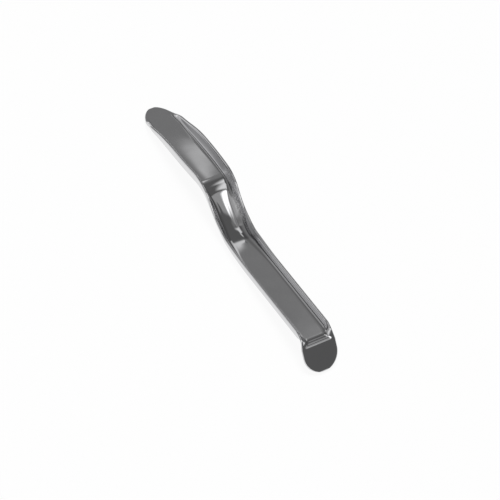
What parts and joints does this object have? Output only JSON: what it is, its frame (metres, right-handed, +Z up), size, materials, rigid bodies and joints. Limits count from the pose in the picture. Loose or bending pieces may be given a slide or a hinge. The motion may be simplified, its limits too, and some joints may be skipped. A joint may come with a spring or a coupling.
{
  "type": "handheld surgical retractor",
  "caption": "One-piece double-ended stainless steel hand retractor with a rimmed trough blade, S bend and short turned-down tongue.",
  "frame": {"origin": "under the middle of the part's box, on the surface that it rests on", "axes": "+X from the long blade to the short tongue, +Y across the width, +Z up out of the open side of the trough, as it lies at rest"},
  "size_m": [0.1804, 0.0202, 0.0215],
  "materials": {
    "steel": "mirror polished stainless steel"
  },
  "bodies": {
    "root": {"retractor": "steel"}
  },
  "joints": []
}
